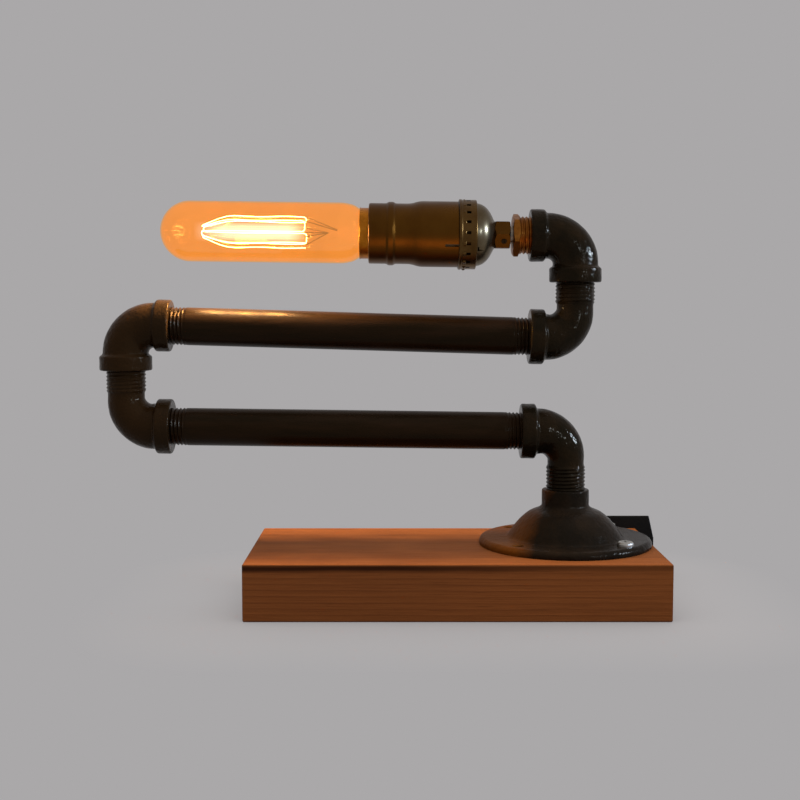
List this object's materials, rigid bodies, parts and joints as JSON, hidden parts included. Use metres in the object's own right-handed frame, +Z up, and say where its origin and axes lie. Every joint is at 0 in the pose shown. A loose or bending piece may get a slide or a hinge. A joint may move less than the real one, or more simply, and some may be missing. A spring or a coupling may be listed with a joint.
{
  "type": "table lamp",
  "caption": "Table lamp of black threaded pipe and elbows folded into three level runs above a wooden block, with a brass lampholder and a tubular filament bulb.",
  "frame": {"origin": "centre of the wooden block's underside, on the table", "axes": "+X along the block to the flange end, +Y to the rear switch housing, +Z up"},
  "size_m": [0.3258, 0.145, 0.2267],
  "materials": {
    "wood": "oiled, fine straight grain",
    "black_casting": "gloss black paint over a lumpy casting",
    "black_pipe": "gloss black paint",
    "zinc_screw": "zinc plated",
    "black_moulding": "fine matt texture",
    "gloss_rocker": "smooth gloss",
    "terminal_brass": "stamped",
    "pale_moulding": "matt",
    "lead_sheath": "matt",
    "bright_brass": "turned, lightly tarnished",
    "zinc_tube": "zinc plated",
    "aged_brass": "antique brown brass, satin",
    "pewter_brass": "antique pewter tone, satin",
    "liner_paper": "fibre board",
    "dark_moulding": "phenolic",
    "clear_glass": "amber tint, clear",
    "base_brass": "rolled thread",
    "black_glass": "vitreous",
    "solder": "solder",
    "support_wire": "drawn wire",
    "glowing_filament": "carbon filament, glowing"
  },
  "bodies": {
    "base": {"wood_base": "wood", "floor_flange": "black_casting", "flange_screws": "zinc_screw", "housing_body": "black_moulding", "housing_lid": "black_moulding", "housing_screws": "zinc_screw", "switch_body": "black_moulding", "switch_terminals": "terminal_brass", "cord_gland": "black_moulding", "gland_locknut": "black_moulding", "terminal_block": "pale_moulding", "terminal_screws": "terminal_brass", "lead_base": "lead_sheath"},
    "rocker": {"rocker": "gloss_rocker"},
    "lower_arm": {"street_elbow_lower_right": "black_casting", "lower_pipe": "black_pipe", "street_elbow_lower_left": "black_casting", "lead_lower_arm": "lead_sheath"},
    "upper_arm": {"elbow_upper_left": "black_casting", "middle_pipe": "black_pipe", "street_elbow_upper_right": "black_casting", "lead_upper_arm": "lead_sheath"},
    "head": {"elbow_top_right": "black_casting", "brass_bushing": "bright_brass", "threaded_nipple": "zinc_tube", "collar": "aged_brass", "set_screw": "zinc_tube", "nipple_nut": "zinc_tube", "socket_cap": "pewter_brass", "socket_shell": "aged_brass", "socket_liner": "liner_paper", "socket_core": "dark_moulding", "socket_terminals": "terminal_brass", "screw_shell": "terminal_brass", "centre_contact": "terminal_brass", "lead_head": "lead_sheath"},
    "bulb_contact": {"bulb_contact": "solder"},
    "bulb": {"bulb_glass": "clear_glass", "bulb_base": "base_brass", "bulb_insulator": "black_glass", "bulb_stem": "clear_glass", "bulb_supports": "support_wire", "bulb_lead_wires": "support_wire", "bulb_filament": "glowing_filament"}
  },
  "joints": [
    {"name": "base_swivel", "type": "hinge", "parent": "base", "child": "lower_arm", "pos_m": [0.064, 0.004, 0.0626], "axis": [0, 0, 1], "range_deg": [-90, 90]},
    {"name": "left_swivel", "type": "hinge", "parent": "lower_arm", "child": "upper_arm", "pos_m": [-0.18598, 0.004, 0.13047], "axis": [0, 0, 1], "range_deg": [-90, 90]},
    {"name": "right_swivel", "type": "hinge", "parent": "upper_arm", "child": "head", "pos_m": [0.06841, 0.004, 0.18012], "axis": [0, 0, 1], "range_deg": [-90, 90]},
    {"name": "rocker_tip", "type": "hinge", "parent": "base", "child": "rocker", "pos_m": [0.0991, 0.0768, 0.01315], "axis": [0, 0, 1], "range_deg": [0, 18]},
    {"name": "bulb_travel", "type": "slide", "parent": "head", "child": "bulb_contact", "axis": [-0.9999, 0, 0.0131], "range_m": [0, 0.01452]},
    {"name": "bulb_turn", "type": "hinge", "parent": "bulb_contact", "child": "bulb", "pos_m": [-0.03158, 0.004, 0.20743], "axis": [-0.9999, 0, 0.0131], "range_deg": [0, 1440]}
  ],
  "couplings": [
    {"joint": "bulb_turn", "follows": "bulb_travel", "rad_per_m": 1731.4}
  ]
}
